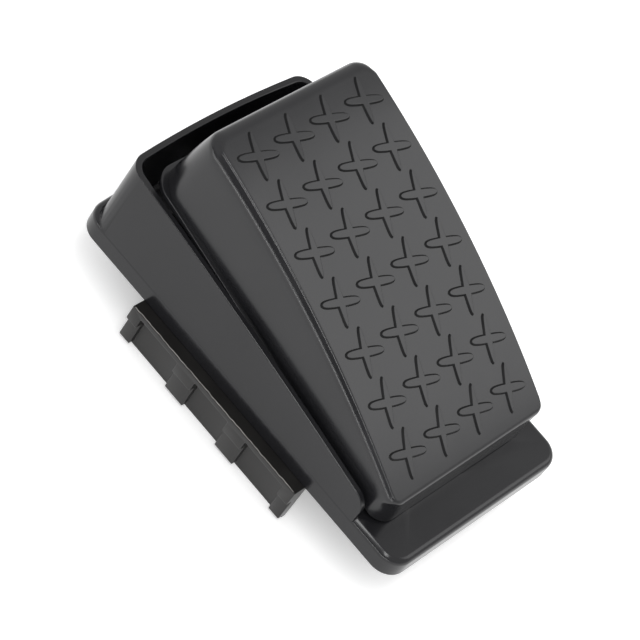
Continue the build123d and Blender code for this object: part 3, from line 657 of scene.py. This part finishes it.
# %% [markdown]
# Round the foot runs a lip with a square edge. It begins about a fifth of the way from the heel,
# and nearer the heel the foot only has a rounded edge. Both forms have the same number of rings,
# so one can grow into the other within two millimetres.

# %% Rings round the lip and up inside
lip_fade = 1.0
# With the lip: share of the way out to its rim, trim at the rim, and height over the foot.
# Without it: way out of the wall, and height over the foot.
lip_rows = (
    ((0.6, 0.0, lip_height), (0.0, 1.45)),
    ((1.0, -0.12, lip_height), (0.0, 1.2)),
    ((1.0, -0.03, 1.76), (0.0, 1.0)),
    ((1.0, 0.0, 1.66), (0.0, 0.8)),
    ((1.0, 0.0, 0.3), (0.0, 0.45)),
    ((1.0, -0.08, 0.08), (-0.1, 0.15)),
    ((1.0, -0.3, 0.0), (-0.35, 0.0)),
)
# Distance in from the outer wall and depth below the tread, where the inside turns into its roof
inner_rows = ((wall, 5.2), (wall + 1.4, wall + 0.6), (wall + 2.4, wall))


def lip_rings():
    """Rings out and round the lip, or round the plain foot near the heel."""
    foot = wall_outline(toe_drop)
    rim = outline(lip_toe_y - lip_side_reach)
    rings = []
    for (out_share, trim, lip_z), (plain_out, plain_z) in lip_rows:
        reach = lip_side_reach + trim
        ring = []
        for (x, y, out_x, out_y), (rim_x, rim_y, _, _) in zip(foot, rim):
            grown = ease(y, lip_start_y - lip_fade, lip_start_y + lip_fade)
            lip_x = x + out_share * (rim_x + reach * out_x - x)
            lip_y = y + out_share * (rim_y + reach * out_y - y)
            plain_x, plain_y = x + plain_out * out_x, y + plain_out * out_y
            ring_x = plain_x + grown * (lip_x - plain_x)
            ring_y = plain_y + grown * (lip_y - plain_y)
            rise = plain_z + grown * (lip_z - plain_z)
            ring.append((ring_x, ring_y, foot_z(min(ring_y, toe_foot_y)) + rise))
        rings.append(ring)
    return rings


def inner_rings():
    """Rings from the foot up the inside of the walls to the tread's underside."""
    foot = moved_out(wall_outline(toe_drop), -wall)
    rings = [[(x, y, foot_z(min(y, toe_foot_y))) for x, y in foot]]
    for inset, depth in inner_rows:
        roof = moved_out(outline(toe_y), -inset)
        rings.append([(x, y, tread_z(y) - depth) for x, y in roof])
    return rings


treadle_rings = outer_rings + lip_rings() + inner_rings()
print("rings in all", len(treadle_rings), "of", len(treadle_rings[0]), "points")

# %% [markdown]
# A ring holds the right side only. Its mirror image completes it, quads join ring to ring, and
# rungs across the first and the last ring close the tread's top and its underside.

# %% Treadle skin
skin_smooth_degrees = 38


def ring_mesh(name, half_rings):
    """A closed mesh from half rings that are mirrored to the left."""
    work = bmesh.new()
    loops = []
    for half in half_rings:
        whole = half + [(-x, y, z) for x, y, z in reversed(half)]
        loops.append([work.verts.new(Vector(point) * mm) for point in whole])
    bridge(work, loops)
    half_count = len(half_rings[0])
    for loop in (loops[0], loops[-1]):
        rungs = list(zip(loop[:half_count], reversed(loop[half_count:])))
        for (near, far), (next_near, next_far) in zip(rungs, rungs[1:]):
            work.faces.new((near, next_near, next_far, far))
    bmesh.ops.recalc_face_normals(work, faces=work.faces)
    return settle(work, bpy.data.meshes.new(name))


skin = ring_mesh("treadle_skin", treadle_rings)
smooth_by_angle(skin, skin_smooth_degrees)
link_piece("treadle_skin", skin, "treadle", treadle_abs, ["pedal"])

# %% [markdown]
# Under the tread, the real moulding has ribs, two hinge ears and a boss for the spring. They are
# plain prisms, so one helper draws an outline in a plane and extrudes it, and the ears get their
# bearing hole from a second outline of as many points. The stop posts and the striker for the
# switch stay with the CAD model, because no view reaches them.

# %% Prisms
# Keeps the ear's outline from dividing by zero
nearly_level = 0.01


def add_prism(work, outer, start, end, place, inner=None):
    """A prism along one axis: place turns (u, v, w) into x, y, z; inner outlines a hole."""
    def loop(contour, level):
        return [work.verts.new(Vector(place(u, v, level)) * mm) for u, v in contour]

    near, far = loop(outer, start), loop(outer, end)
    if inner:
        inner_near, inner_far = loop(inner, start), loop(inner, end)
        bridge(work, [near, far, inner_far, inner_near, near])
    else:
        bridge(work, [near, far])
        work.faces.new(near)
        work.faces.new(far)


def along_x(u, v, w):
    """An outline in y and z, extruded along x."""
    return (w, u, v)


def along_z(u, v, w):
    """An outline in x and y, extruded along z."""
    return (u, v, w)


def circle(centre_u, centre_v, radius, count=32):
    """Points of a circle, anticlockwise."""
    turns = [2 * math.pi * step / count for step in range(count)]
    return [(centre_u + radius * math.cos(turn), centre_v + radius * math.sin(turn))
            for turn in turns]


def hinge_ear(centre_y, centre_z, radius, top, count=32):
    """Outline of an ear: round below its hole, straight sides up to the tread above it."""
    points = []
    for step in range(count):
        turn = 2 * math.pi * step / count
        out_y, out_z = math.cos(turn), math.sin(turn)
        reach = radius
        if out_z > nearly_level:
            reach = min(radius / max(abs(out_y), nearly_level), top / out_z)
        points.append((centre_y + reach * out_y, centre_z + reach * out_z))
    return points


print("points in an ear's outline", len(hinge_ear(0, 0, 1, 2)))

# %% [markdown]
# Two long ribs run from heel to toe under the arc, and two cross ribs tie them to the side walls.
# The ears take the hinge bushes, and the boss ends in a peg that keeps the spring in its place.

# %% Ribs, ears and boss, in millimetres
hinge_y, hinge_z = -47.0, 12.0
ear_radius = 4.2
ear_hole_radius = 3.0
bush_flange = 0.7
spring_y = 24.0
boss_foot_z = 35.0
boss_radius = 8.0
peg_radius = 5.0
peg_height = 4.0
rib_half_width = 0.8
rib_depth = 10.2
long_rib_x = 9.0
cross_rib_ys = (-8.0, 38.0)
rib_stations = 24
heel_margin = 1.6
toe_margin = 2.0
# Cross ribs run this far into the side walls
wall_overlap = 0.4
# Depths below the tread at which the long ribs, cross ribs, ears and boss end
rib_top, cross_rib_top, ear_top, boss_top = 1.9, 3.6, 3.2, 4.2

inside = bmesh.new()
rib_length = toe_y - toe_margin - (heel_y + heel_margin)
stations = [heel_y + heel_margin + rib_length * step / rib_stations
            for step in range(rib_stations + 1)]
rib_side = [(y, tread_z(y) - rib_top) for y in stations]
rib_side += [(y, tread_z(y) - rib_depth) for y in reversed(stations)]
for rib_x in (-long_rib_x, long_rib_x):
    add_prism(inside, rib_side, rib_x - rib_half_width, rib_x + rib_half_width, along_x)
rib_end = half_width - wall + wall_overlap
for rib_y in cross_rib_ys:
    low_y, high_y = rib_y - rib_half_width, rib_y + rib_half_width
    rib_cut = [(-rib_end, low_y), (rib_end, low_y), (rib_end, high_y), (-rib_end, high_y)]
    add_prism(inside, rib_cut, tread_z(rib_y) - rib_depth, tread_z(rib_y) - cross_rib_top,
              along_z)
bush_low, bush_high = in_mm(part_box("hinge_bush_right"))
ear = hinge_ear(hinge_y, hinge_z, ear_radius, tread_z(hinge_y) - ear_top - hinge_z)
ear_hole = circle(hinge_y, hinge_z, ear_hole_radius)
for side in (-1, 1):
    span = sorted((side * (bush_low[0] + bush_flange), side * bush_high[0]))
    add_prism(inside, ear, *span, along_x, inner=ear_hole)
add_prism(inside, circle(0, spring_y, boss_radius), boss_foot_z, tread_z(spring_y) - boss_top,
          along_z)
add_prism(inside, circle(0, spring_y, peg_radius), boss_foot_z - peg_height, boss_foot_z, along_z)
bmesh.ops.recalc_face_normals(inside, faces=inside.faces)
inside_mesh = settle(inside, bpy.data.meshes.new("treadle_ribs"))
link_piece("treadle_ribs", inside_mesh, "treadle", treadle_abs, ["pedal"])

# %% [markdown]
# The tread carries 28 raised crosses in seven rows of four. Each has four leaf-shaped arms with
# rounded tips and a soft top edge, and one pair of opposite arms tapers more than the other. One
# cross is drawn here as a stack of loops, and a Geometry Nodes tree sets the copies.

# %% One cross, in millimetres
cross_span = 14.6
arm_half_width = 1.38
arm_tapers = (0.35, 0.8)
cross_inner_corner = 1.25
cross_turn = math.radians(-15.0)
tip_power = 7
arm_shares = (0.18, 0.34, 0.5, 0.64, 0.76, 0.86, 0.93, 0.97, 0.993)
# Shrink of the outline and height over the tread, from the root in the moulding to the flat top
cross_profile = ((-0.32, -0.8), (-0.32, -0.02), (-0.18, 0.08), (-0.04, 0.28), (0.06, 0.42),
                 (0.16, 0.49), (0.28, 0.5), (0.34, 0.5))
# A face that points up less than this belongs to a flank, which gets the painted shade
flat_normal = 0.97
cross_smooth_degrees = 60


def cross_loop(shrink, height):
    """Outline of the cross, shrunk by a distance, at a height."""
    length = cross_span / 2 - shrink
    points = []
    for quarter in range(4):
        taper = arm_tapers[quarter % 2]
        edge = [(length * share, (arm_half_width - shrink - taper * share)
                 * math.sqrt(1 - share ** tip_power)) for share in arm_shares]
        # The inner corner lies where neighbouring arms meet
        edge[0] = (cross_inner_corner - shrink, cross_inner_corner - shrink)
        arm = [(along, -across) for along, across in edge] + [(length, 0.0)]
        arm += reversed(edge[1:])
        angle = quarter * math.pi / 2 + cross_turn
        for along, across in arm:
            points.append((along * math.cos(angle) - across * math.sin(angle),
                           along * math.sin(angle) + across * math.cos(angle), height))
    return points


cross_work = bmesh.new()
cross_loops = [[cross_work.verts.new(Vector(point) * mm) for point in cross_loop(shrink, height)]
               for shrink, height in cross_profile]
bridge(cross_work, cross_loops)
cross_work.faces.new(cross_loops[-1])
cross_work.faces.new(list(reversed(cross_loops[0])))
cross_mesh = settle(cross_work, bpy.data.meshes.new("cross"))
# Marks the flank faces that get the painted shade
flanks = cross_mesh.attributes.new("flank", "BOOLEAN", "FACE")
flanks.data.foreach_set("value", [face.normal.z < flat_normal for face in cross_mesh.polygons])
smooth_by_angle(cross_mesh, cross_smooth_degrees)
cross_seed = add_object("cross", cross_mesh)
print("one cross faces", len(cross_mesh.polygons))

# %% [markdown]
# The tree starts from a flat grid with one point for each cross. It wraps the grid's length round
# the tread's axis, so that each point lands on the arc. Each point's lean is stored before it
# moves, because the copies are turned by it.

# %% Geometry Nodes tree: a grid wrapped on the arc
tree = bpy.data.node_groups.new("crosses_on_arc", "GeometryNodeTree")
socket_kinds = {
    "Geometry": "Geometry", "Columns": "Int", "Rows": "Int", "Across": "Float",
    "Along": "Float", "Arc Radius": "Float", "Arc Start": "Float", "Axis Y": "Float",
    "Axis Z": "Float", "Cross": "Object", "Material": "Material", "Flank Material": "Material",
}
sockets = {name: tree.interface.new_socket(name=name, in_out="INPUT",
                                           socket_type=f"NodeSocket{kind}")
           for name, kind in socket_kinds.items()}
tree.interface.new_socket(name="Geometry", in_out="OUTPUT", socket_type="NodeSocketGeometry")
given = add_node(tree, "NodeGroupInput").outputs
grid = add_node(tree, "GeometryNodeMeshGrid", links={
    "Size X": given["Across"], "Size Y": given["Along"],
    "Vertices X": given["Columns"], "Vertices Y": given["Rows"],
})
position = add_node(tree, "GeometryNodeInputPosition")
flat = add_node(tree, "ShaderNodeSeparateXYZ", links={"Vector": position.outputs[0]})
arc_length = add_node(tree, "ShaderNodeMath", {"operation": "DIVIDE"},
                      {0: flat.outputs["Y"], 1: given["Arc Radius"]})
lean = add_node(tree, "ShaderNodeMath", {"operation": "ADD"},
                {0: arc_length.outputs[0], 1: given["Arc Start"]})
sine = add_node(tree, "ShaderNodeMath", {"operation": "SINE"}, {0: lean.outputs[0]})
cosine = add_node(tree, "ShaderNodeMath", {"operation": "COSINE"}, {0: lean.outputs[0]})
place_y = add_node(tree, "ShaderNodeMath", {"operation": "MULTIPLY_ADD"},
                   {0: sine.outputs[0], 1: given["Arc Radius"], 2: given["Axis Y"]})
place_z = add_node(tree, "ShaderNodeMath", {"operation": "MULTIPLY_ADD"},
                   {0: cosine.outputs[0], 1: given["Arc Radius"], 2: given["Axis Z"]})
on_arc = add_node(tree, "ShaderNodeCombineXYZ", links={
    "X": flat.outputs["X"], "Y": place_y.outputs[0], "Z": place_z.outputs[0],
})
opposite = add_node(tree, "ShaderNodeMath", {"operation": "MULTIPLY", 1: -1.0},
                    {0: lean.outputs[0]})
kept_lean = add_node(tree, "GeometryNodeStoreNamedAttribute",
                     {"data_type": "FLOAT", "Name": "lean"},
                     {"Geometry": grid.outputs["Mesh"], "Value": opposite.outputs[0]})
wrapped = add_node(tree, "GeometryNodeSetPosition",
                   links={"Geometry": kept_lean.outputs[0], "Position": on_arc.outputs[0]})
print("inputs", list(sockets))

# %% [markdown]
# A copy of the cross goes on each point and leans with the arc. The tree ends in Realize Instances
# and Set Material, because an export drops instances. A second Set Material gives a darker,
# rougher material to the faces that the cross has marked as its flanks: painted shade for the
# crosses' outlines.

# %% Geometry Nodes tree: the copies
lean_back = add_node(tree, "GeometryNodeInputNamedAttribute",
                     {"data_type": "FLOAT", "Name": "lean"})
tilt = add_node(tree, "ShaderNodeCombineXYZ", links={"X": lean_back.outputs["Attribute"]})
cross_shape = add_node(tree, "GeometryNodeObjectInfo", links={"Object": given["Cross"]})
copies = add_node(tree, "GeometryNodeInstanceOnPoints", links={
    "Points": wrapped.outputs[0], "Instance": cross_shape.outputs["Geometry"],
    "Rotation": tilt.outputs[0],
})
solid = add_node(tree, "GeometryNodeRealizeInstances", links={"Geometry": copies.outputs[0]})
dressed = add_node(tree, "GeometryNodeSetMaterial",
                   links={"Geometry": solid.outputs[0], "Material": given["Material"]})
on_flank = add_node(tree, "GeometryNodeInputNamedAttribute",
                    {"data_type": "BOOLEAN", "Name": "flank"})
# The flanks get the darker material: painted shade for the crosses' outlines
edged = add_node(tree, "GeometryNodeSetMaterial", links={
    "Geometry": dressed.outputs[0], "Selection": on_flank.outputs["Attribute"],
    "Material": given["Flank Material"],
})
add_node(tree, "NodeGroupOutput", links={"Geometry": edged.outputs[0]})
print("tree nodes", len(tree.nodes))

# %% [markdown]
# The tree's sizes follow from the treadle's: the first and the last row keep their distance from
# the toe and the heel, and the outer columns keep theirs from the sides. An empty object carries
# the modifier until its result is plain mesh data.

# %% Set the crosses on the tread
cross_columns = 4
cross_rows = 7
cross_toe_margin = 11.2
cross_heel_margin = 10.1
cross_side_margin = 12.1

first_lean = math.asin((toe_y - cross_toe_margin - axis_y) / tread_radius)
last_lean = math.asin((heel_y + cross_heel_margin - axis_y) / tread_radius)
values = {
    "Columns": cross_columns, "Rows": cross_rows,
    "Across": 2 * (half_width - cross_side_margin) * mm,
    "Along": (first_lean - last_lean) * tread_radius * mm,
    "Arc Radius": tread_radius * mm, "Arc Start": (first_lean + last_lean) / 2,
    "Axis Y": axis_y * mm, "Axis Z": axis_z * mm,
    "Cross": cross_seed, "Material": treadle_abs, "Flank Material": painted_shade_flank_abs,
}
carrier = add_object("cross_carrier", bpy.data.meshes.new("cross_carrier"))
modifier = carrier.modifiers.new("crosses", "NODES")
modifier.node_group = tree
for name, value in values.items():
    modifier[sockets[name].identifier] = value
crosses_mesh = evaluated_mesh(carrier)
bpy.data.objects.remove(cross_seed)
link_piece("tread_crosses", crosses_mesh, "treadle", None, ["pedal"])

# %% [markdown]
# The studio. The pedal stands on a white sweep, which also lights it from below as paper does. The
# paper glows a little for the camera and for reflections, so that it shows white without more
# light on the object. Seen from below it is clear, so the underside can be looked at too.

# %% Floor
floor_size = 8.0
floor_glow = 0.34
# A card whose normal rises more than this has no level side to be turned by
faces_up = 0.99


def card(name, centre, facing, width, height, material):
    """A flat stage card in metres, turned to face a point."""
    mesh = bpy.data.meshes.new(name)
    normal = (Vector(facing) - Vector(centre)).normalized()
    if abs(normal.z) > faces_up:
        side = normal.orthogonal()
    else:
        side = Vector((0, 0, 1)).cross(normal).normalized()
    rise = normal.cross(side)
    spots = [Vector(centre) + side * u * width / 2 + rise * v * height / 2
             for u, v in ((-1, -1), (1, -1), (1, 1), (-1, 1))]
    mesh.from_pydata(spots, [], [(0, 1, 2, 3)])
    mesh.materials.append(material)
    made = add_object(name, mesh)
    return made


floor_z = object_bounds()[0][2]
paper_material = bpy.data.materials.new("studio_floor")
tree = emptied_tree(paper_material)
rays = add_node(tree, "ShaderNodeLightPath")
seen = add_node(tree, "ShaderNodeMath", {"operation": "MAXIMUM"},
                {0: rays.outputs["Is Camera Ray"], 1: rays.outputs["Is Glossy Ray"]})
seen_too = add_node(tree, "ShaderNodeMath", {"operation": "MAXIMUM"},
                    {0: seen.outputs[0], 1: rays.outputs["Is Transmission Ray"]})
lift = add_node(tree, "ShaderNodeMath", {"operation": "MULTIPLY", 1: floor_glow},
                {0: seen_too.outputs[0]})
paper = add_node(tree, "ShaderNodeBsdfDiffuse", {"Color": linear("#f4f4f4")})
glow = add_node(tree, "ShaderNodeEmission", {"Color": (1, 1, 1, 1)},
                {"Strength": lift.outputs[0]})
both = add_node(tree, "ShaderNodeAddShader", links={0: paper.outputs[0], 1: glow.outputs[0]})
face = add_node(tree, "ShaderNodeNewGeometry")
gone = add_node(tree, "ShaderNodeBsdfTransparent")
sheet = add_node(tree, "ShaderNodeMixShader", links={
    0: face.outputs["Backfacing"], 1: both.outputs[0], 2: gone.outputs[0],
})
add_node(tree, "ShaderNodeOutputMaterial", links={"Surface": sheet.outputs[0]})
card("floor", (0, 0, floor_z), (0, 0, floor_z + 1), floor_size, floor_size, paper_material)
print("floor at", round(floor_z, 4))

# %% [markdown]
# A black plastic shows mostly what it mirrors, so the light is drawn to be seen in it. A pale sky
# surrounds the pedal, and on the left stands a dark card, clear to the camera, that the narrow
# bevels pick up.

# %% Dark card and sky
card_centre = (-1.25, 0.0, 0.29)
card_faces = (0, 0.0, 0.1)
card_width, card_height = 2.6, 0.38
sky_strength = 0.8

felt_material = bpy.data.materials.new("dark_card")
tree = emptied_tree(felt_material)
rays = add_node(tree, "ShaderNodeLightPath")
felt = add_node(tree, "ShaderNodeBsdfDiffuse", {"Color": linear("#303030")})
clear = add_node(tree, "ShaderNodeBsdfTransparent")
shown = add_node(tree, "ShaderNodeMixShader", links={
    0: rays.outputs["Is Camera Ray"], 1: felt.outputs[0], 2: clear.outputs[0],
})
add_node(tree, "ShaderNodeOutputMaterial", links={"Surface": shown.outputs[0]})
card("dark_card", card_centre, card_faces, card_width, card_height, felt_material)

world = bpy.data.worlds.new("studio")
bpy.context.scene.world = world
tree = emptied_tree(world)
sky = add_node(tree, "ShaderNodeBackground", {"Color": (1, 1, 1, 1), "Strength": sky_strength})
add_node(tree, "ShaderNodeOutputWorld", links={"Surface": sky.outputs[0]})
print("card", card_width, "by", card_height, "m, sky", sky_strength)

# %% [markdown]
# Three softboxes are each placed for what mirrors them. A large round one high on the right shades
# the tread with its soft edge. A long narrow one overhead, a little to the left, draws thin lines
# on the edges that face the camera. A low strip on the left draws the line along the lower edge
# of the bevel.

# %% Lamps
def soft_lamp(name, way, distance, width, height, radiance):
    """A softbox that faces the object; its power follows from its brightness and its area."""
    data = bpy.data.lights.new(name, "AREA")
    data.shape = "ELLIPSE" if width == height else "RECTANGLE"
    data.size = width
    data.size_y = height
    data.energy = math.pi * width * height * radiance
    lamp = add_object(name, data)
    toward = Vector(way).normalized()
    lamp.location = toward * distance
    lamp.rotation_euler = toward.to_track_quat("Z", "Y").to_euler()
    return lamp


lamps = [
    soft_lamp("tread_softbox", (0.66, -0.36, 0.66), 1.6, 1.0, 1.0, 1.25),
    soft_lamp("edge_softbox", (-0.44, -0.15, 0.87), 1.5, 0.3, 1.2, 8.0),
    soft_lamp("low_strip", (-1.0, 0.0, 0.04), 1.2, 2.0, 0.08, 9.0),
]
print("lamps", [lamp.name for lamp in lamps])
